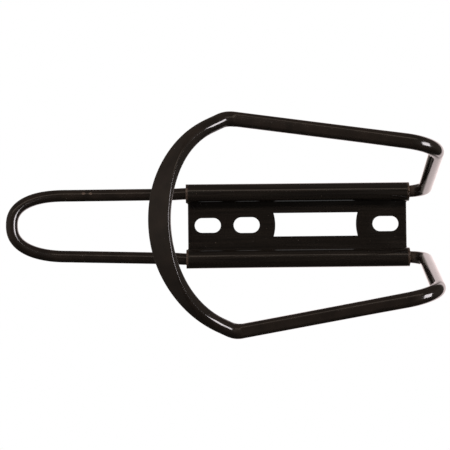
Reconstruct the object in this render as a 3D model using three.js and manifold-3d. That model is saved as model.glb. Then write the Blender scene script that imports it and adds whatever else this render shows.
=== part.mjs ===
// Wire bottle cage for a bicycle: a top loop and a front hoop, both of bent steel rod, held in the
// rolled edges of a pressed steel bracket that bolts to the frame tube.
//
// Millimetres. The cage lies on the back of its bracket: +X points to the bottom of the cage, where
// the bottle stands, Y runs across it and +Z points away from the frame tube, towards the front.
// Sizes along X are measured from the middle of the bracket, and the finished group is moved so that
// its origin is the middle of its base.

import * as THREE from 'three';
import { mergeVertices } from 'three/addons/utils/BufferGeometryUtils.js';
import Module from 'manifold-3d';

const wasm = await Module();
wasm.setup();

// Rod and sheet
const ROD_D = 4.2; // 4 mm rod with its paint
const SHEET_T = 1.0;
const GRIP_GAP = 0.3; // between the rod and the rolled edge around it
const BUTT_GAP = 0.4; // between the ends of the two rods, inside a rolled edge

// Bracket
const RAIL_SPACING = 23.4; // between the centre lines of the two rolled edges
const WEB_L = 78.6;
const CURL_OVERHANG = 0.6; // the rolled edges reach past the web at each end
const CURL_END_ANGLE = 212; // degrees from the outer side, over the top, down to the web
const NOTCH_LAND = 0.4; // web left at full length beside each rolled edge
const NOTCH_CHAMFER = 1.8;
const SLOT_L = 9.4;
const SLOT_W = 5.5; // clears an M5 bolt
const LOWER_SLOT_X = 31.8;
const BOLT_PITCHES = [64, 50]; // the two spacings of frame bosses that the slots serve
const WINDOW_X = 6.65;
const WINDOW_L = 30.3;
const WINDOW_W = 8.4;
const WINDOW_BULGE = 0.6; // its short ends bow inwards

// Top loop
const LOOP_TIP_X = -101.5;
const LOOP_END_L = 19.5; // length of the rounded end
const LOOP_END_W = 21.8; // between centre lines where the rounded end begins
const LOOP_END_POWER = 2.4; // 2 would be an ellipse
const LOOP_KINK_X = -86.5; // the tip is bent forward from here
const LOOP_KINK_DEG = 22;
const LOOP_KINK_BLEND = 3; // half the length over which the kink is rounded
const LOOP_NECK_L = 6; // over this length the legs ease inwards from the rolled edges
const LOOP_NECK_IN = 0.25; // and by this much
const LOOP_LEG_STEPS = 5;
const LOOP_TIP_STEPS = 11;

// Front hoop, base and arms
const BASE_X = 45.42; // corner where the base rods leave the bracket's plane
const BASE_BEND_R = 6.4;
const FRONT_CORNER = new THREE.Vector3(40.7, 23.1, 70.2); // where a base rod becomes an arm
const FRONT_BEND_R = 10;
const SIDE_BEND_R = 6.5; // where an arm becomes the hoop
const SIDE_REACH = 6.3; // from the end of the hoop's arc to the corner of that bend
const HOOP_R = 33.65;
const HOOP_TILT_DEG = 53; // between the front of the hoop and the bottle's cross-section
const HOOP_EASE_FROM = 15; // past this far down from its front the hoop slopes less and less
const HOOP_EASE = 1 / 36;
const HOOP_HALF_DEG = 68.5; // arc on each side of the front
const HOOP_FRONT = new THREE.Vector3(-46, 0, 77);
const BOTTLE_AXIS_Z = 41.4;

// Cross-sections, as width, thickness and corner radius
const ROUND = { width: ROD_D, thickness: ROD_D, corner: ROD_D / 2 };
const ARM = { width: 4.5, thickness: 3.9, corner: 1.3 };
const TWIST = { width: 4.75, thickness: 4.65, corner: 2.15 }; // between an arm and the hoop
const BAND = { width: 7.1, thickness: 1.9, corner: 0.5 };
const BAND_FACE_DEG = 25; // the band's face leans up the bottle by this much
const BAND_FROM = 0.18; // share of the half arc after which the rod starts to become the band
const BAND_FULL = 0.9; // and by which it is the band
const ROD_SIDES_PER_QUARTER = 3;
const STRAIGHT_STEP = 16; // between rings along a straight run
const ARC_STEP = 4; // between rings round the hoop
const BEND_STEPS = 6;

const BLACK = 0x14110f;

const degrees = THREE.MathUtils.degToRad;
const railY = RAIL_SPACING / 2;
const curlInnerR = ROD_D / 2 + GRIP_GAP;
const curlOuterR = curlInnerR + SHEET_T;
const railZ = curlOuterR; // the rolled edges rest on the ground plane

// ---------------------------------------------------------------------------------------------
// Booleans

function toManifold(geometry) {
  geometry.deleteAttribute('normal');
  geometry.deleteAttribute('uv');
  const merged = mergeVertices(geometry, 1e-4);
  return new wasm.Manifold(
    new wasm.Mesh({
      numProp: 3,
      vertProperties: new Float32Array(merged.attributes.position.array),
      triVerts: new Uint32Array(merged.index.array),
    }),
  );
}

function toGeometry(manifold) {
  const mesh = manifold.getMesh();
  const geometry = new THREE.BufferGeometry();
  geometry.setAttribute('position', new THREE.BufferAttribute(mesh.vertProperties, 3));
  geometry.setIndex(new THREE.BufferAttribute(mesh.triVerts, 1));
  geometry.computeVertexNormals();
  return geometry;
}

// ---------------------------------------------------------------------------------------------
// Rods

// A bend of the given radius at a corner between two straight runs.
class Bend extends THREE.Curve {
  constructor(before, corner, after, radius) {
    super();
    const directionIn = corner.clone().sub(before).normalize();
    const directionOut = after.clone().sub(corner).normalize();
    const angle = directionIn.angleTo(directionOut);
    const inward = directionOut.clone().sub(directionIn).normalize();
    this.centre = corner.clone().addScaledVector(inward, radius / Math.cos(angle / 2));
    this.start = corner.clone().addScaledVector(directionIn, -radius * Math.tan(angle / 2));
    this.end = corner.clone().addScaledVector(directionOut, radius * Math.tan(angle / 2));
    this.axis = directionIn.clone().cross(directionOut).normalize();
    this.angle = angle;
  }

  getPoint(t) {
    const spoke = this.start.clone().sub(this.centre);
    return spoke.applyAxisAngle(this.axis, this.angle * t).add(this.centre);
  }
}

// How far a point of the hoop, at an angle from its front, lies down the slope and into the ease.
function hoopDescent(angle) {
  const down = HOOP_R * (1 - Math.cos(angle));
  return { down, eased: Math.max(0, down - HOOP_EASE_FROM) };
}

// The way the hoop's arc runs from its front, at an angle from there.
function hoopTangent(angle) {
  const tilt = degrees(HOOP_TILT_DEG);
  const sine = Math.sin(angle);
  const steepness = 1 - 2 * HOOP_EASE * hoopDescent(angle).eased;
  const fall = Math.cos(tilt) * sine * steepness;
  return new THREE.Vector3(Math.sin(tilt) * sine, Math.cos(angle), -fall).normalize();
}

// A point of the hoop's arc, at an angle from its front.
function hoopPoint(angle) {
  const tilt = degrees(HOOP_TILT_DEG);
  const { down, eased } = hoopDescent(angle);
  const fall = Math.cos(tilt) * (down - HOOP_EASE * eased ** 2);
  return HOOP_FRONT.clone().add(
    new THREE.Vector3(Math.sin(tilt) * down, HOOP_R * Math.sin(angle), -fall),
  );
}

function lerpSection(from, to, t) {
  const mix = (key) => THREE.MathUtils.lerp(from[key], to[key], t);
  return { width: mix('width'), thickness: mix('thickness'), corner: mix('corner') };
}

// Rings from one point to another along a straight run, without its last point.
function straightRun(from, to, describe) {
  const count = Math.max(1, Math.round(from.distanceTo(to) / STRAIGHT_STEP));
  return Array.from({ length: count }, (_, i) => {
    const t = i / count;
    return { point: from.clone().lerp(to, t), ...describe(t) };
  });
}

function bendRun(bend, describe) {
  return Array.from({ length: BEND_STEPS }, (_, i) => {
    const t = i / BEND_STEPS;
    return { point: bend.getPoint(t), ...describe(t) };
  });
}

// Which way the thin direction of the rod faces on the hoop: away from the bottle, leaning upwards.
function bandFacing(point) {
  const radial = new THREE.Vector3(0, point.y, point.z - BOTTLE_AXIS_Z).normalize();
  const lean = degrees(BAND_FACE_DEG);
  return radial.multiplyScalar(Math.cos(lean)).setX(-Math.sin(lean));
}

// Half of the hoop rod, from its end inside the bracket to the front of the hoop.
function hoopHalf() {
  const down = new THREE.Vector3(1, 0, 0);
  const front = new THREE.Vector3(0, 0, 1);
  const back = new THREE.Vector3(0, 0, -1);
  const halfAngle = degrees(HOOP_HALF_DEG);
  const end = new THREE.Vector3(BUTT_GAP / 2, railY, railZ);
  const baseCorner = new THREE.Vector3(BASE_X, railY, railZ);
  const arcStart = hoopPoint(halfAngle);
  const arcFacing = bandFacing(arcStart);
  const sideCorner = arcStart.clone().addScaledVector(hoopTangent(halfAngle), SIDE_REACH);

  const baseBend = new Bend(end, baseCorner, FRONT_CORNER, BASE_BEND_R);
  const frontBend = new Bend(baseCorner, FRONT_CORNER, sideCorner, FRONT_BEND_R);
  const sideBend = new Bend(FRONT_CORNER, sideCorner, arcStart, SIDE_BEND_R);
  const turning = (from, to, first, last) => (t) => ({
    facing: from.clone().lerp(to, t),
    section: lerpSection(first, last, t),
  });

  const arcSteps = Math.round((HOOP_R * halfAngle) / ARC_STEP);
  const arc = Array.from({ length: arcSteps + 1 }, (_, i) => {
    const t = i / arcSteps;
    const point = hoopPoint(halfAngle * (1 - t));
    const flat = THREE.MathUtils.smoothstep(t, BAND_FROM, BAND_FULL);
    return { point, section: lerpSection(TWIST, BAND, flat), facing: bandFacing(point) };
  });

  return [
    ...straightRun(end, baseBend.start, turning(back, back, ROUND, ROUND)),
    ...bendRun(baseBend, turning(back, down, ROUND, ROUND)),
    ...straightRun(baseBend.end, frontBend.start, turning(down, down, ROUND, ROUND)),
    ...bendRun(frontBend, turning(down, front, ROUND, ARM)),
    ...straightRun(frontBend.end, sideBend.start, turning(front, front, ARM, ARM)),
    ...bendRun(sideBend, turning(front, arcFacing, ARM, TWIST)),
    ...straightRun(sideBend.end, arcStart, turning(arcFacing, arcFacing, TWIST, TWIST)),
    ...arc,
  ];
}

// Half the distance between the loop's centre lines, at a distance from the tip.
function loopHalfWidth(x) {
  const endStart = LOOP_TIP_X + LOOP_END_L;
  if (x < endStart) {
    const reach = (endStart - x) / LOOP_END_L;
    return (LOOP_END_W / 2) * Math.pow(1 - Math.pow(reach, LOOP_END_POWER), 1 / LOOP_END_POWER);
  }
  const neck = -WEB_L / 2 - LOOP_NECK_L;
  const legEnd = railY - LOOP_NECK_IN;
  if (x < neck) {
    return THREE.MathUtils.mapLinear(x, endStart, neck, LOOP_END_W / 2, legEnd);
  }
  return THREE.MathUtils.lerp(legEnd, railY, THREE.MathUtils.smoothstep(x, neck, -WEB_L / 2));
}

// Height of the loop's centre line: level, then bent forward past the kink.
function loopHeight(x) {
  const past = LOOP_KINK_X - x;
  const slope = Math.tan(degrees(LOOP_KINK_DEG));
  if (past < -LOOP_KINK_BLEND) return railZ;
  if (past > LOOP_KINK_BLEND) return railZ + slope * past;
  return railZ + (slope * (past + LOOP_KINK_BLEND) ** 2) / (4 * LOOP_KINK_BLEND);
}

// Half of the loop, from its end inside the bracket to its tip.
function loopHalf() {
  const ring = (x) => ({
    point: new THREE.Vector3(x, loopHalfWidth(x), loopHeight(x)),
    section: ROUND,
    facing: new THREE.Vector3(0, 0, 1),
  });
  const endStart = LOOP_TIP_X + LOOP_END_L;
  const legStops = [-BUTT_GAP / 2, -WEB_L / 2, -WEB_L / 2 - LOOP_NECK_L / 2, -WEB_L / 2 - LOOP_NECK_L];
  const legStart = legStops.at(-1);
  for (let i = 1; i < LOOP_LEG_STEPS; i++) {
    legStops.push(THREE.MathUtils.lerp(legStart, endStart, i / LOOP_LEG_STEPS));
  }
  const tip = Array.from({ length: LOOP_TIP_STEPS }, (_, i) => {
    const angle = (Math.PI / 2) * (i / LOOP_TIP_STEPS);
    return ring(endStart - LOOP_END_L * Math.pow(Math.sin(angle), 2 / LOOP_END_POWER));
  });
  return [...legStops.map(ring), ...tip, ring(LOOP_TIP_X)];
}

// A half and its mirror image across the middle plane, joined where they meet.
function mirrored(half) {
  const flip = (v) => v.clone().setY(-v.y);
  const other = half.slice(0, -1).map((ring) => ({
    ...ring,
    point: flip(ring.point),
    facing: flip(ring.facing),
  }));
  return [...half, ...other.reverse()];
}

// The outline of a rod's section, counted round from its width direction.
function sectionOutline({ width, thickness, corner }) {
  const points = [];
  for (let quarter = 0; quarter < 4; quarter++) {
    const signs = [[1, 1], [-1, 1], [-1, -1], [1, -1]][quarter];
    for (let j = 0; j < ROD_SIDES_PER_QUARTER; j++) {
      const angle = (Math.PI / 2) * (quarter + (j + 0.5) / ROD_SIDES_PER_QUARTER);
      points.push([
        signs[0] * (width / 2 - corner) + corner * Math.cos(angle),
        signs[1] * (thickness / 2 - corner) + corner * Math.sin(angle),
      ]);
    }
  }
  return points;
}

// A closed rod through rings that each have a point, a section and the way their thin side faces.
function rodGeometry(rings) {
  const positions = [];
  const indices = [];
  const sides = 4 * ROD_SIDES_PER_QUARTER;
  rings.forEach(({ point, section, facing }, i) => {
    const ahead = rings[Math.min(i + 1, rings.length - 1)].point;
    const behind = rings[Math.max(i - 1, 0)].point;
    const tangent = ahead.clone().sub(behind).normalize();
    const thin = facing.clone().addScaledVector(tangent, -facing.dot(tangent)).normalize();
    const wide = thin.clone().cross(tangent);
    for (const [u, v] of sectionOutline(section)) {
      const vertex = point.clone().addScaledVector(wide, u).addScaledVector(thin, v);
      positions.push(vertex.x, vertex.y, vertex.z);
    }
  });
  for (let i = 0; i + 1 < rings.length; i++) {
    for (let j = 0; j < sides; j++) {
      const a = i * sides + j;
      const b = i * sides + ((j + 1) % sides);
      indices.push(a, b, b + sides, a, b + sides, a + sides);
    }
  }
  const lastRing = (rings.length - 1) * sides;
  for (let j = 1; j + 1 < sides; j++) {
    indices.push(0, j + 1, j);
    indices.push(lastRing, lastRing + j, lastRing + j + 1);
  }
  const geometry = new THREE.BufferGeometry();
  geometry.setAttribute('position', new THREE.Float32BufferAttribute(positions, 3));
  geometry.setIndex(indices);
  geometry.computeVertexNormals();
  return geometry;
}

// ---------------------------------------------------------------------------------------------
// Bracket

// Its section across the cage: a flat web whose two edges are rolled forward into tubes.
function bracketProfile() {
  const curlSteps = 16;
  const arc = (radius, from, to) =>
    Array.from({ length: curlSteps + 1 }, (_, i) => {
      const angle = degrees(THREE.MathUtils.lerp(from, to, i / curlSteps));
      return [railY + radius * Math.cos(angle), railZ + radius * Math.sin(angle)];
    });
  const right = [...arc(curlOuterR, -90, CURL_END_ANGLE), ...arc(curlInnerR, CURL_END_ANGLE, -90)];
  const left = right.map(([y, z]) => [-y, z]).reverse();
  return new THREE.Shape([...right, ...left].map(([y, z]) => new THREE.Vector2(y, z)));
}

// A cutter for the web: a flat outline made tall enough to pass through it.
function webCutter(shape) {
  const geometry = new THREE.ExtrudeGeometry(shape, {
    depth: 3 * SHEET_T,
    bevelEnabled: false,
    curveSegments: 8,
  });
  geometry.translate(0, 0, -SHEET_T);
  return toManifold(geometry);
}

function slotShape(centreX) {
  const radius = SLOT_W / 2;
  const reach = SLOT_L / 2 - radius;
  const shape = new THREE.Shape();
  shape.absarc(centreX + reach, 0, radius, -Math.PI / 2, Math.PI / 2, false);
  shape.absarc(centreX - reach, 0, radius, Math.PI / 2, (3 * Math.PI) / 2, false);
  return shape;
}

function windowShape() {
  const [left, right] = [WINDOW_X - WINDOW_L / 2, WINDOW_X + WINDOW_L / 2];
  const side = WINDOW_W / 2;
  const shape = new THREE.Shape();
  shape.moveTo(left, -side);
  shape.lineTo(right, -side);
  shape.quadraticCurveTo(right - 2 * WINDOW_BULGE, 0, right, side);
  shape.lineTo(left, side);
  shape.quadraticCurveTo(left + 2 * WINDOW_BULGE, 0, left, -side);
  return shape;
}

// The notch that leaves the web shorter than the rolled edges, with its corners chamfered.
function endNotchShape(direction) {
  const inner = direction * (WEB_L / 2);
  const outer = inner + direction * 2 * CURL_OVERHANG;
  const side = railY - curlOuterR - NOTCH_LAND;
  const flare = side + NOTCH_CHAMFER;
  const corners = [[inner, -side], [outer, -flare], [outer, flare], [inner, side]];
  if (direction < 0) corners.reverse();
  return new THREE.Shape(corners.map(([x, y]) => new THREE.Vector2(x, y)));
}

function bracketGeometry() {
  const length = WEB_L + 2 * CURL_OVERHANG;
  const blank = new THREE.ExtrudeGeometry(bracketProfile(), { depth: length, bevelEnabled: false });
  blank.rotateX(Math.PI / 2);
  blank.rotateZ(Math.PI / 2);
  blank.translate(-length / 2, 0, 0);

  const slotCentres = [LOWER_SLOT_X, ...BOLT_PITCHES.map((pitch) => LOWER_SLOT_X - pitch)];
  const shapes = slotCentres.map(slotShape);
  shapes.push(windowShape(), endNotchShape(-1), endNotchShape(1));
  const cut = shapes.reduce((body, shape) => body.subtract(webCutter(shape)), toManifold(blank));
  return toGeometry(cut);
}

// ---------------------------------------------------------------------------------------------
// Assembly

function piece(name, geometry, roughness) {
  const material = new THREE.MeshStandardMaterial({ color: BLACK, roughness, metalness: 0.1 });
  const mesh = new THREE.Mesh(geometry, material);
  mesh.name = name;
  return mesh;
}

const group = new THREE.Group();
group.add(
  piece('mounting_bracket', bracketGeometry(), 0.28),
  piece('top_loop_rod', rodGeometry(mirrored(loopHalf())), 0.22),
  piece('front_hoop_rod', rodGeometry(mirrored(hoopHalf())), 0.22),
);

const box = new THREE.Box3().setFromObject(group, true);
const centre = box.getCenter(new THREE.Vector3());
group.position.set(-centre.x, -centre.y, -box.min.z);

export default group;
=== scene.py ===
"""Looks of the wire bottle cage: gloss black rods and a rolled sheet bracket on a white studio floor.

Lengths are in millimetres until they reach Blender, which works in metres. Places come from the
boxes of the CAD nodes.
"""

import math

import bpy
from mathutils import Matrix, Vector


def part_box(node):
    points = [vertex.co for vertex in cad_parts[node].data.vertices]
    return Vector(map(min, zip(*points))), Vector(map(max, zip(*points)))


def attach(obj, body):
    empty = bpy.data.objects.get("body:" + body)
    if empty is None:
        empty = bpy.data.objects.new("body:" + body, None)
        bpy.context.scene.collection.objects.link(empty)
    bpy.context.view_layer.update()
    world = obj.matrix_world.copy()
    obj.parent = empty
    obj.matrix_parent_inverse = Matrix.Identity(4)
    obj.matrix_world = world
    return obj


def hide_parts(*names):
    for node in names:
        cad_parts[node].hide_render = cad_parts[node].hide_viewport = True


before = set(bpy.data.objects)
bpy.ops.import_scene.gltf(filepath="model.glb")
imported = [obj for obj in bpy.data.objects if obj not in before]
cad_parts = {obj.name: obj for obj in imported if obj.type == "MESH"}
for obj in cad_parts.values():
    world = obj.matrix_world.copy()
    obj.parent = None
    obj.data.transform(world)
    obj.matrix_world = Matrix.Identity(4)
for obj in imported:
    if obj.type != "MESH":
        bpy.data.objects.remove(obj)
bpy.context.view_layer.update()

MM = 0.001


def node_box(name):
    """Lowest and highest corner of a CAD node, in millimetres."""
    low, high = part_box(name)
    return low / MM, high / MM


BRACKET_LOW, BRACKET_HIGH = node_box("mounting_bracket")
LOOP_LOW, _ = node_box("top_loop_rod")

# Rod and sheet
ROD_D = 4.2
SHEET_T = 1.0
BUTT_GAP = 0.2

# Bracket
BRACKET_X = (BRACKET_LOW.x + BRACKET_HIGH.x) / 2
CURL_OUTER_R = (BRACKET_HIGH.z - BRACKET_LOW.z) / 2
CURL_INNER_R = CURL_OUTER_R - SHEET_T
RAIL_Y = BRACKET_HIGH.y - CURL_OUTER_R
RAIL_Z = CURL_OUTER_R
CURL_OVERHANG = 0.6
CURL_END_DEG = 212
WEB_L = BRACKET_HIGH.x - BRACKET_LOW.x - 2 * CURL_OVERHANG
NOTCH_LAND = 0.4
NOTCH_CHAMFER = 1.8
EDGE_ROUNDING = 0.16
SLOT_L = 9.4
SLOT_WIDTHS = (5.3, 5.66, 5.4)
LOWER_SLOT_OFFSET = 31.8
SLOT_PITCHES = (64, 50, 0)  # from the lower slot to each of the three
HOLES_ASIDE = 0.35
WINDOW_OFFSET = 6.65
WINDOW_L = 30.3
WINDOW_W = 8.4
WINDOW_BULGE = 0.6

# Top loop
LOOP_TIP_X = LOOP_LOW.x + ROD_D / 2
LOOP_END_L = 19.5
LOOP_END_W = 21.8
LOOP_END_POWER = 2.4
LOOP_KINK_X = LOOP_TIP_X + 15
LOOP_KINK_DEG = 22
LOOP_KINK_BLEND = 3
LOOP_NECK_L = 6
LOOP_NECK_IN = 0.25

# Front hoop, base and arms. Each end of the hoop is the angle of its arc, and the distance from there
# to the corner where it becomes an arm
BASE_X = BRACKET_X + 45.4
BASE_BEND_R = 6.8
FRONT_CORNER = Vector((BRACKET_X + 40.7, 23.1, 70.2))
FRONT_BEND_R = 10
SIDE_BEND_R = 6.5
HOOP_R = 33.65
HOOP_TILT = math.radians(53)
HOOP_ENDS = ((math.radians(65), 7.4), (math.radians(72), 5.1))
HOOP_EASE_FROM = 15
HOOP_EASE = 1 / 36
HOOP_FRONT = Vector((BRACKET_X - 46, 0, 77))
BOTTLE_AXIS_Z = 41.4
BAND_LEAN = math.radians(25)
ARM_LEAN = math.radians(6)

# The bent wire is a little off square: the loop swings aside as a slope, and the front of the hoop
# stands aside of the middle, by less and less towards its ends
LOOP_SWAY = 0.0129
HOOP_ASIDE = 0.45
HOOP_ASIDE_LENGTH = 10.9
HOOP_ASIDE_END = 23.4
HOOP_ASIDE_POWER = 1.5

# Rod sections: width, thickness, corner radius, crown of the flat faces
ROUND = (ROD_D, ROD_D, ROD_D / 2, 0)
BASE = (4.75, 4.75, 2.375, 0)
CORNER = (4.8, 4.2, 2.1, 0)
ARM = (4.5, 3.9, 1.3, 0.06)
TWIST = (4.75, 4.65, 2.15, 0)
BAND = (7.1, 1.9, 0.3, 0.05)

# Shares of a stretch over which one section becomes the next
ARM_EARLY = 0.25
ARM_EVENLY = 0.6
TWIST_SHARE = 1 / 3
BAND_FROM = 0.18
BAND_SHARE = 0.72
BAND_CORNER_SHARE = 0.75

# How finely the rods are drawn
SIDES_PER_QUARTER = 14
RING_STEP = 0.5
LOOP_TIP_STEPS = 70

# Marks in the paint
NICKS_X = (-76.4, -73.9)
NICK_Y = 1.2
NICK_SIZE = (0.6, 0.4, 0.8)
SCRAPE_SIZE = (1.9, 2.4, 1.6)
SCRAPE_STRENGTH = 0.4
CHIP_COLOUR = (0.04, 0.03, 0.025, 1)
BARE_COLOUR = (0.07, 0.05, 0.04, 1)

FLOOR_GAP = 0.05


# ---------------------------------------------------------------------------------------------
# Rods


def mix(a, b, t):
    return a + (b - a) * t


def mix_section(a, b, t):
    return tuple(mix(p, q, t) for p, q in zip(a, b))


def smoothstep(t):
    t = min(max(t, 0.0), 1.0)
    return t * t * (3 - 2 * t)


class Bend:
    """A bend of the given radius at a corner between two straight runs."""

    def __init__(self, before, corner, after, radius):
        way_in = (corner - before).normalized()
        way_out = (after - corner).normalized()
        self.angle = way_in.angle(way_out)
        reach = radius * math.tan(self.angle / 2)
        inward = (way_out - way_in).normalized()
        self.centre = corner + inward * radius / math.cos(self.angle / 2)
        self.start = corner - way_in * reach
        self.end = corner + way_out * reach
        self.axis = way_in.cross(way_out).normalized()
        self.length = radius * self.angle

    def point(self, t):
        spoke = self.start - self.centre
        return self.centre + Matrix.Rotation(self.angle * t, 3, self.axis) @ spoke


def hoop_point(angle):
    """A point of the hoop, at an angle from its front: an arc on a slope that eases at the sides."""
    down = HOOP_R * (1 - math.cos(angle))
    fall = down - HOOP_EASE * max(0, down - HOOP_EASE_FROM) ** 2
    place = Vector((math.sin(HOOP_TILT) * down, 0, -math.cos(HOOP_TILT) * fall))
    return HOOP_FRONT + place + Vector((0, HOOP_R * math.sin(angle), 0))


def hoop_end(half_angle, reach):
    """The end of the hoop's arc, and the corner where its tangent meets the arm's line."""
    end = hoop_point(half_angle)
    tangent = (end - hoop_point(half_angle - 0.01)).normalized()
    return end, end + tangent * reach


def band_facing(point):
    """Which way the band's face looks: away from the bottle, leaning towards its mouth."""
    radial = Vector((0, point.y, point.z - BOTTLE_AXIS_Z)).normalized()
    return radial * math.cos(BAND_LEAN) + Vector((-math.sin(BAND_LEAN), 0, 0))


def run(length, place, describe):
    """Rings along a stretch, without its last one. A ring is a point, a section and a facing."""
    count = max(2, round(length / RING_STEP))
    return [(place(i / count), *describe(i / count)) for i in range(count)]


def hoop_half(half_angle, reach):
    """Half of the hoop rod, from its end inside the bracket to the front of the hoop."""
    down, front, back = Vector((1, 0, 0)), Vector((0, 0, 1)), Vector((0, 0, -1))
    outward = Vector((0, math.sin(ARM_LEAN), math.cos(ARM_LEAN)))
    end = Vector((BRACKET_X + BUTT_GAP / 2, RAIL_Y, RAIL_Z))
    base_corner = Vector((BASE_X, RAIL_Y, RAIL_Z))
    arc_end, side = hoop_end(half_angle, reach)
    base_bend = Bend(end, base_corner, FRONT_CORNER, BASE_BEND_R)
    front_bend = Bend(base_corner, FRONT_CORNER, side, FRONT_BEND_R)
    side_bend = Bend(FRONT_CORNER, side, arc_end, SIDE_BEND_R)

    def straight(start, stop, describe):
        return run((stop - start).length, lambda t: start.lerp(stop, t), describe)

    def turn(facing_in, facing_out, first=ROUND, last=ROUND):
        return lambda t: (mix_section(first, last, smoothstep(t)), facing_in.lerp(facing_out, t))

    def arm(t):
        change = mix(smoothstep(t / ARM_EARLY), t, ARM_EVENLY)
        return mix_section(CORNER, ARM, change), front.lerp(outward, t)

    def twist(t):
        facing = outward.lerp(band_facing(side_bend.end), t)
        return mix_section(ARM, TWIST, smoothstep(t / TWIST_SHARE)), facing

    def arc(t):
        return hoop_point(half_angle * (1 - t))

    def band(t):
        flat = smoothstep((t - BAND_FROM) / BAND_SHARE)
        width, thickness, _, crown = mix_section(TWIST, BAND, flat)
        corner = mix(TWIST[2], BAND[2], smoothstep(t / BAND_CORNER_SHARE))
        return (width, thickness, corner, crown), band_facing(arc(t))

    rings = straight(end, base_bend.start, turn(back, back))
    rings += run(base_bend.length, base_bend.point, turn(back, down, ROUND, BASE))
    rings += straight(base_bend.end, front_bend.start, turn(down, down, BASE, BASE))
    rings += run(front_bend.length, front_bend.point, turn(down, front, BASE, CORNER))
    rings += straight(front_bend.end, side_bend.start, arm)
    rings += run(side_bend.length, side_bend.point, twist)
    facing = band_facing(arc_end)
    rings += straight(side_bend.end, arc_end, turn(facing, facing, TWIST, TWIST))
    rings += run(HOOP_R * half_angle, arc, band)
    rings.append((hoop_point(0), BAND, band_facing(hoop_point(0))))
    return rings


def hoop_aside(x):
    """How far the hoop rod stands aside of the middle, at a place along the cage."""
    hoop_end_x = HOOP_FRONT.x + HOOP_ASIDE_END
    past = (min(x, hoop_end_x) - HOOP_FRONT.x) / HOOP_ASIDE_LENGTH
    aside = HOOP_ASIDE * (1 - max(0, past) ** HOOP_ASIDE_POWER)
    if x < hoop_end_x:
        return aside
    return aside * max(0, FRONT_CORNER.x - x) / (FRONT_CORNER.x - hoop_end_x)


def skewed(rings):
    """The hoop rod's rings with its hoop pushed aside and its arms following."""
    moved = []
    for point, section, facing in rings:
        aside = hoop_aside(point.x) if point.z > BOTTLE_AXIS_Z else 0
        moved.append((point + Vector((0, aside, 0)), section, facing))
    return moved


def swung(rings):
    """The loop's rings swung aside about the end of the bracket."""
    pivot = BRACKET_X - WEB_L / 2
    return [
        (point + Vector((0, LOOP_SWAY * max(0, pivot - point.x), 0)), section, facing)
        for point, section, facing in rings
    ]


def loop_half_width(x):
    """Half the distance between the loop's centre lines."""
    end_start = LOOP_TIP_X + LOOP_END_L
    if x < end_start:
        reach = (end_start - x) / LOOP_END_L
        return LOOP_END_W / 2 * max(0, 1 - reach**LOOP_END_POWER) ** (1 / LOOP_END_POWER)
    bracket_end = BRACKET_X - WEB_L / 2
    neck = bracket_end - LOOP_NECK_L
    leg_end = RAIL_Y - LOOP_NECK_IN
    if x < neck:
        return mix(LOOP_END_W / 2, leg_end, (x - end_start) / (neck - end_start))
    return mix(leg_end, RAIL_Y, smoothstep((x - neck) / (bracket_end - neck)))


def loop_height(x):
    """Height of the loop's centre line: level, then bent forward past the kink."""
    past = LOOP_KINK_X - x
    slope = math.tan(math.radians(LOOP_KINK_DEG))
    if past < -LOOP_KINK_BLEND:
        return RAIL_Z
    if past > LOOP_KINK_BLEND:
        return RAIL_Z + slope * past
    return RAIL_Z + slope * (past + LOOP_KINK_BLEND) ** 2 / (4 * LOOP_KINK_BLEND)


def loop_half():
    """Half of the loop, from its end inside the bracket to its tip."""
    front = Vector((0, 0, 1))
    start_x = BRACKET_X - BUTT_GAP / 2
    end_start = LOOP_TIP_X + LOOP_END_L

    def leg(t):
        x = mix(start_x, end_start, t)
        return Vector((x, loop_half_width(x), loop_height(x)))

    rings = run(start_x - end_start, leg, lambda t: (ROUND, front))
    for i in range(LOOP_TIP_STEPS):
        angle = math.pi / 2 * i / LOOP_TIP_STEPS
        x = end_start - LOOP_END_L * math.sin(angle) ** (2 / LOOP_END_POWER)
        y = LOOP_END_W / 2 * math.cos(angle) ** (2 / LOOP_END_POWER)
        rings.append((Vector((x, y, loop_height(x))), ROUND, front))
    rings.append((Vector((LOOP_TIP_X, 0, loop_height(LOOP_TIP_X))), ROUND, front))
    return rings


def joined(half, other_half):
    """A half and the mirror image of the other half, joined at the middle plane."""
    flip = Matrix.Diagonal((1, -1, 1))
    other = [(flip @ point, section, flip @ facing) for point, section, facing in other_half[:-1]]
    return half + other[::-1]


def section_outline(width, thickness, corner, crown):
    """Points round a rod's section: a rectangle with round corners, or a circle."""
    points = []
    for quarter, (su, sv) in enumerate(((1, 1), (-1, 1), (-1, -1), (1, -1))):
        for j in range(SIDES_PER_QUARTER):
            angle = math.pi / 2 * (quarter + (j + 0.5) / SIDES_PER_QUARTER)
            u = su * (width / 2 - corner) + corner * math.cos(angle)
            v = sv * (thickness / 2 - corner) + corner * math.sin(angle)
            points.append((u, v + sv * crown * (1 - (2 * u / width) ** 2)))
    return points


def make_mesh(name, vertices, faces):
    mesh = bpy.data.meshes.new(name)
    mesh.from_pydata([v * MM for v in vertices], [], faces)
    mesh.validate()
    mesh.update()
    obj = bpy.data.objects.new(name, mesh)
    bpy.context.scene.collection.objects.link(obj)
    return obj


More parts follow.
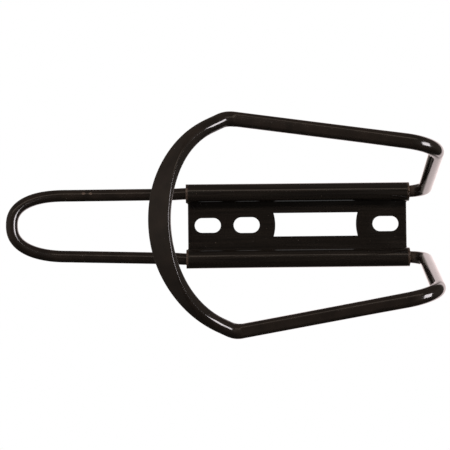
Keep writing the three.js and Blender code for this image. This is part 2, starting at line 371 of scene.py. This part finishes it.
def rod(name, rings):
    """A closed rod through rings."""
    sides = 4 * SIDES_PER_QUARTER
    vertices = []
    for i, (point, section, facing) in enumerate(rings):
        ahead = rings[min(i + 1, len(rings) - 1)][0]
        behind = rings[max(i - 1, 0)][0]
        tangent = (ahead - behind).normalized()
        thin = (facing - tangent * facing.dot(tangent)).normalized()
        wide = thin.cross(tangent)
        vertices += [point + wide * u + thin * v for u, v in section_outline(*section)]
    faces = []
    for i in range(len(rings) - 1):
        for j in range(sides):
            a, b = i * sides + j, i * sides + (j + 1) % sides
            faces.append((a, b, b + sides, a + sides))
    last = (len(rings) - 1) * sides
    faces.append(tuple(range(sides))[::-1])
    faces.append(tuple(range(last, last + sides)))
    obj = make_mesh(name, vertices, faces)
    obj.data.shade_smooth()
    return obj


# ---------------------------------------------------------------------------------------------
# Bracket


def prism(name, outline, low, high, axis="Z"):
    """A closed prism over a flat outline, along Z, or along X over an outline in Y and Z."""
    count = len(outline)
    if axis == "Z":
        vertices = [Vector((p, q, h)) for h in (low, high) for p, q in outline]
    else:
        vertices = [Vector((h, p, q)) for h in (low, high) for p, q in outline]
    faces = [(i, (i + 1) % count, (i + 1) % count + count, i + count) for i in range(count)]
    faces.append(tuple(range(count))[::-1])
    faces.append(tuple(range(count, 2 * count)))
    return make_mesh(name, vertices, faces)


def curl_arc(radius, start_deg, stop_deg, steps=64):
    """Points round the middle of a rolled edge, across and up."""
    for i in range(steps + 1):
        angle = math.radians(mix(start_deg, stop_deg, i / steps))
        yield RAIL_Y + radius * math.cos(angle), RAIL_Z + radius * math.sin(angle)


def bracket_profile():
    """Section across the cage: a flat web whose edges are rolled forward into tubes."""
    right = [*curl_arc(CURL_OUTER_R, -90, CURL_END_DEG), *curl_arc(CURL_INNER_R, CURL_END_DEG, -90)]
    left = [(-y, z) for y, z in reversed(right)]
    return right + left


def slot_outline(centre_x, width, steps=24):
    radius = width / 2
    reach = SLOT_L / 2 - radius
    points = []
    for side, start in ((1, -90), (-1, 90)):
        for i in range(steps + 1):
            angle = math.radians(start + 180 * i / steps)
            across = HOLES_ASIDE + radius * math.sin(angle)
            points.append((centre_x + side * reach + radius * math.cos(angle), across))
    return points


def window_outline(steps=16):
    middle = BRACKET_X + WINDOW_OFFSET
    points = []
    for side in (1, -1):
        for i in range(steps + 1):
            t = 2 * i / steps - 1
            bulge = WINDOW_BULGE * (1 - t * t)
            across = HOLES_ASIDE + side * t * WINDOW_W / 2
            points.append((middle + side * (WINDOW_L / 2 - bulge), across))
    return points


def notch_outline(side):
    """The notch that leaves the web shorter than the rolled edges, with chamfered corners."""
    inner = BRACKET_X + side * WEB_L / 2
    outer = inner + side * 2 * CURL_OVERHANG
    half = RAIL_Y - CURL_OUTER_R - NOTCH_LAND
    flare = half + NOTCH_CHAMFER
    points = [(inner, -half), (outer, -flare), (outer, flare), (inner, half)]
    return points if side > 0 else points[::-1]


def apply_modifier(obj, modifier):
    with bpy.context.temp_override(object=obj, active_object=obj, selected_objects=[obj]):
        bpy.ops.object.modifier_apply(modifier=modifier.name)


def cut(obj, outline):
    cutter = prism("cutter", outline, -SHEET_T, 2 * SHEET_T)
    modifier = obj.modifiers.new("cut", "BOOLEAN")
    modifier.operation = "DIFFERENCE"
    modifier.solver = "EXACT"
    modifier.object = cutter
    apply_modifier(obj, modifier)
    bpy.data.objects.remove(cutter)


def bracket():
    body = prism("bracket_sheet", bracket_profile(), BRACKET_LOW.x, BRACKET_HIGH.x, axis="X")
    for pitch, width in zip(SLOT_PITCHES, SLOT_WIDTHS):
        cut(body, slot_outline(BRACKET_X + LOWER_SLOT_OFFSET - pitch, width))
    cut(body, window_outline())
    for side in (-1, 1):
        cut(body, notch_outline(side))
    bevel = body.modifiers.new("edge", "BEVEL")
    bevel.width = EDGE_ROUNDING * MM
    bevel.segments = 3
    bevel.limit_method = "ANGLE"
    bevel.angle_limit = math.radians(35)
    bevel.harden_normals = False
    apply_modifier(body, bevel)
    body.data.shade_smooth()
    body.data.set_sharp_from_angle(angle=math.radians(30))
    return body


# ---------------------------------------------------------------------------------------------
# Materials


class Nodes:
    """Short ways to add the nodes that the paints are made of."""

    def __init__(self, material):
        material.use_nodes = True
        self.nodes = material.node_tree.nodes
        self.links = material.node_tree.links
        self.shader = self.nodes["Principled BSDF"]
        self.place = self.nodes.new("ShaderNodeTexCoord").outputs["Object"]

    def add(self, kind, inputs, output=0, **settings):
        node = self.nodes.new(kind)
        for key, value in settings.items():
            setattr(node, key, value)
        for key, value in inputs.items():
            if isinstance(value, bpy.types.NodeSocket):
                self.links.new(value, node.inputs[key])
            else:
                node.inputs[key].default_value = value
        return node.outputs[output]

    def noise(self, period, detail=2.0, stretch=(1, 1, 1)):
        """Noise whose blotches are about a period across, in millimetres, times a stretch."""
        scale = [1 / (period * MM * factor) for factor in stretch]
        place = self.add("ShaderNodeMapping", {"Vector": self.place, "Scale": scale})
        return self.add("ShaderNodeTexNoise", {"Vector": place, "Scale": 1.0, "Detail": detail})

    def ramp(self, value, start, stop, low=0.0, high=1.0):
        limits = {"From Min": start, "From Max": stop, "To Min": low, "To Max": high}
        return self.add("ShaderNodeMapRange", {"Value": value, **limits})

    def mix(self, factor, first, second):
        inputs = {"Factor": factor, 6: first, 7: second}
        return self.add("ShaderNodeMix", inputs, output=2, data_type="RGBA")

    def math(self, operation, first, second=0.0):
        return self.add("ShaderNodeMath", {0: first, 1: second}, operation=operation)

    def vector(self, operation, first, second=(0, 0, 0)):
        return self.add("ShaderNodeVectorMath", {0: first, 1: second}, operation=operation)

    def bump(self, height, depth, normal=None):
        inputs = {"Height": height, "Distance": depth * MM, "Strength": 1.0}
        if normal is not None:
            inputs["Normal"] = normal
        return self.add("ShaderNodeBump", inputs)


def end_wear(n):
    """One at the ends of the bracket, where the paint is worn, and nothing a little way in."""
    x = n.add("ShaderNodeSeparateXYZ", {0: n.place})
    away = n.math("ABSOLUTE", n.math("SUBTRACT", x, BRACKET_X * MM))
    end = WEB_L / 2 * MM
    return n.ramp(away, end - 0.4 * MM, end + 0.3 * MM)


def mark(n, centre, radius, place=None):
    """One inside a small ellipsoid, fading to nothing outside it."""
    size = [1 / (r * MM) for r in radius]
    offset = n.vector("SUBTRACT", place or n.place, centre * MM)
    scaled = n.vector("MULTIPLY", offset, size)
    reach = n.add("ShaderNodeVectorMath", {0: scaled}, output=1, operation="LENGTH")
    return n.ramp(reach, 1.2, 0.8)


def rod_marks(n):
    """Scraped paint where the hoop rod leaves the bracket, and nicks in a leg of the loop."""
    both = n.vector("ABSOLUTE", n.place)
    exit_place = Vector((BRACKET_X + WEB_L / 2 + 2, RAIL_Y, RAIL_Z + ROD_D / 2))
    marks = n.math("MULTIPLY", mark(n, exit_place, SCRAPE_SIZE, both), SCRAPE_STRENGTH)
    for x in NICKS_X:
        nick_place = Vector((BRACKET_X + x, LOOP_END_W / 2 + NICK_Y, RAIL_Z + ROD_D / 2))
        marks = n.math("MAXIMUM", marks, mark(n, nick_place, NICK_SIZE))
    return marks


def gloss_paint(name, black, brown, worn, mottle, stretch=(1, 1, 1), ribbing=0.0):
    """Black gloss with a faint orange peel, browner in patches, with chips and a worn place."""
    material = bpy.data.materials.new(name)
    n = Nodes(material)
    patches = n.ramp(n.noise(mottle, 4, stretch), 0.32, 0.68)
    chips = n.ramp(n.noise(0.7, 1), 0.785, 0.795)
    wear = n.math("MULTIPLY", worn(n), n.ramp(n.noise(0.8, 2), 0.3, 0.5))
    colour = n.mix(patches, (*black, 1), (*brown, 1))
    colour = n.mix(chips, colour, CHIP_COLOUR)
    colour = n.mix(wear, colour, BARE_COLOUR)
    bare = n.math("MAXIMUM", chips, wear)
    gloss = n.math("ADD", n.ramp(patches, 0, 1, 0.09, 0.15), n.ramp(bare, 0, 1, 0.0, 0.3))
    normal = n.bump(n.noise(1.6, 1), 0.002)
    normal = n.bump(patches, ribbing, normal)
    normal = n.bump(n.ramp(bare, 0, 1, 1.0, 0.0), 0.04, normal)
    n.links.new(colour, n.shader.inputs["Base Color"])
    n.links.new(gloss, n.shader.inputs["Roughness"])
    n.links.new(normal, n.shader.inputs["Normal"])
    n.shader.inputs["IOR"].default_value = 1.5
    return material


# ---------------------------------------------------------------------------------------------
# Studio


def camera():
    """A camera straight above the bracket, but for a small lean towards -Y."""
    distance = 500
    seen_width = 162
    roll = 0.0106
    lean = math.radians(1.25)
    target = Vector((BRACKET_X - 26, 0.39, CURL_OUTER_R))
    data = bpy.data.cameras.new("camera")
    data.sensor_width = 36
    data.lens = data.sensor_width * distance / seen_width
    obj = bpy.data.objects.new("camera", data)
    back = Vector((0, -math.sin(lean), math.cos(lean)))
    obj.location = (target + back * (distance + SHEET_T - target.z)) * MM
    turn = Matrix.Rotation(lean, 3, "X") @ Matrix.Rotation(-roll, 3, "Z")
    obj.rotation_mode = "QUATERNION"
    obj.rotation_quaternion = turn.to_quaternion()
    bpy.context.scene.collection.objects.link(obj)
    bpy.context.scene.camera = obj


def white_room():
    """A floor and a dome that only the camera sees, so that they light and reflect nothing."""
    radius = 3000
    rings, sides = 24, 64
    vertices = [Vector((0, 0, -FLOOR_GAP))]
    for i in range(rings):
        angle = math.pi / 2 * i / rings
        flat = radius * math.cos(angle)
        height = radius * math.sin(angle) - FLOOR_GAP
        for j in range(sides):
            turn = 2 * math.pi * j / sides
            vertices.append(Vector((flat * math.cos(turn), flat * math.sin(turn), height)))
    vertices.append(Vector((0, 0, radius)))
    faces = [(0, 1 + (j + 1) % sides, 1 + j) for j in range(sides)]
    for i in range(rings - 1):
        for j in range(sides):
            a, b = 1 + i * sides + j, 1 + i * sides + (j + 1) % sides
            faces.append((a, b, b + sides, a + sides))
    top, last = len(vertices) - 1, 1 + (rings - 1) * sides
    faces += [(last + j, last + (j + 1) % sides, top) for j in range(sides)]
    obj = make_mesh("white_room", vertices, faces)
    obj.visible_glossy = False
    make_white(obj)


def paper():
    """A sheet under the holes of the bracket that only the gloss of the rolled edges mirrors."""
    left, right = 2 - WEB_L / 2, WINDOW_OFFSET + WINDOW_L / 2
    half_w = RAIL_Y - CURL_OUTER_R
    corners = [(left, -half_w), (right, -half_w), (right, half_w), (left, half_w)]
    vertices = [Vector((BRACKET_X + x, y, -FLOOR_GAP / 2)) for x, y in corners]
    obj = make_mesh("paper", vertices, [(0, 1, 2, 3)])
    obj.visible_camera = False
    make_white(obj, brightness=0.45)


def make_white(obj, brightness=1.0):
    """Makes an object shine white, without lighting or shading anything."""
    obj.visible_diffuse = False
    obj.visible_shadow = False
    material = bpy.data.materials.new("white")
    material.use_nodes = True
    nodes, links = material.node_tree.nodes, material.node_tree.links
    nodes.clear()
    out = nodes.new("ShaderNodeOutputMaterial")
    emission = nodes.new("ShaderNodeEmission")
    emission.inputs["Strength"].default_value = brightness
    links.new(emission.outputs[0], out.inputs["Surface"])
    obj.data.materials.append(material)


def area_light(name, azimuth_deg, from_zenith_deg, size, radiance, color, shining=True):
    """A soft panel a metre from the cage, seen only in its gloss or lighting only its dull shade."""
    data = bpy.data.lights.new(name, "AREA")
    data.shape = "RECTANGLE"
    data.size, data.size_y = size
    data.energy = radiance * math.pi * size[0] * size[1]
    data.color = color
    obj = bpy.data.objects.new(name, data)
    a, z = math.radians(azimuth_deg), math.radians(from_zenith_deg)
    way = Vector((math.sin(z) * math.cos(a), math.sin(z) * math.sin(a), math.cos(z)))
    obj.location = way
    obj.visible_glossy = shining
    obj.visible_diffuse = not shining
    obj.rotation_mode = "QUATERNION"
    obj.rotation_quaternion = way.to_track_quat("Z", "Y")
    bpy.context.scene.collection.objects.link(obj)


def surroundings():
    """What the gloss reflects: dark, a little paler to the left, with a bright table below."""
    world = bpy.data.worlds.new("surroundings")
    world.use_nodes = True
    nodes, links = world.node_tree.nodes, world.node_tree.links
    direction = nodes.new("ShaderNodeTexCoord")
    split = nodes.new("ShaderNodeSeparateXYZ")
    links.new(direction.outputs["Generated"], split.inputs[0])

    def fade(source, start, stop, low, high):
        node = nodes.new("ShaderNodeMapRange")
        node.interpolation_type = "SMOOTHSTEP"
        node.inputs["From Min"].default_value = start
        node.inputs["From Max"].default_value = stop
        node.inputs["To Min"].default_value = low
        node.inputs["To Max"].default_value = high
        links.new(source, node.inputs["Value"])
        return node.outputs["Result"]

    def combine(operation, a, b):
        node = nodes.new("ShaderNodeMath")
        node.operation = operation
        links.new(a, node.inputs[0])
        links.new(b, node.inputs[1])
        return node.outputs[0]

    # The table, seen below and to the right, and a brighter wedge of it further right
    table = combine(
        "MULTIPLY",
        fade(split.outputs["Z"], -0.72, -0.9, 0.0, 1.35),
        fade(split.outputs["X"], -0.1, 0.02, 0.02, 1.0),
    )
    wedge = combine(
        "MULTIPLY",
        fade(split.outputs["Z"], -0.9, -0.6, 1.35, 3.3),
        fade(split.outputs["X"], 0.2, 0.4, 0.0, 1.0),
    )
    wedge = combine("MULTIPLY", wedge, fade(split.outputs["Z"], -0.62, -0.68, 0.0, 1.0))
    bright = combine("MAXIMUM", table, wedge)

    # The rest of the room: a paler left side, and walls that darken overhead and towards each side
    left = fade(split.outputs["X"], -0.3, -0.65, 0.0, 0.08)
    around = combine(
        "MULTIPLY",
        fade(split.outputs["Y"], -0.7, -0.05, 0.05, 0.17),
        fade(split.outputs["Z"], 0.9, 0.99, 1.0, 0.35),
    )
    around = combine("MULTIPLY", around, fade(split.outputs["Y"], 0.4, 0.8, 1.0, 0.5))
    strength = combine("ADD", combine("ADD", bright, left), around)

    background = nodes["Background"]
    colour = nodes.new("ShaderNodeMix")
    colour.data_type = "RGBA"
    colour.inputs[6].default_value = (1.0, 0.87, 0.76, 1)
    colour.inputs[7].default_value = (0.98, 0.83, 0.82, 1)
    links.new(bright, colour.inputs["Factor"])
    links.new(colour.outputs[2], background.inputs["Color"])
    links.new(strength, background.inputs["Strength"])
    bpy.context.scene.world = world


def studio():
    white_room()
    paper()
    area_light("key", 0, 54, size=(0.34, 0.42), radiance=17, color=(1, 0.94, 0.97))
    area_light("fill", 90, 36, size=(1.2, 0.22), radiance=0.85, color=(1, 0.82, 0.67))
    area_light("wash", 90, 28, size=(1.2, 0.3), radiance=9.5, color=(1, 0.9, 0.82), shining=False)
    surroundings()
    bpy.context.scene.view_settings.view_transform = "Standard"


camera()
studio()

bracket_paint = gloss_paint(
    "bracket_paint",
    black=(0.0062, 0.0053, 0.0047),
    brown=(0.0130, 0.0104, 0.0087),
    worn=end_wear,
    mottle=0.9,
    stretch=(30, 1, 1),
    ribbing=0.0008,
)
rod_paint = gloss_paint(
    "rod_paint",
    black=(0.0095, 0.0077, 0.0067),
    brown=(0.0165, 0.0125, 0.0105),
    worn=rod_marks,
    mottle=5,
)
sheet = bracket()
loop = rod("loop_wire", swung(joined(loop_half(), loop_half())))
hoop = rod("hoop_wire", skewed(joined(*[hoop_half(*end) for end in HOOP_ENDS])))
for piece, node, slot, paint in (
    (sheet, "mounting_bracket", "bracket_paint", bracket_paint),
    (loop, "top_loop_rod", "rod_paint", rod_paint),
    (hoop, "front_hoop_rod", "rod_paint", rod_paint),
):
    piece.data.materials.append(paint)
    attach(piece, "root")
    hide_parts(node)
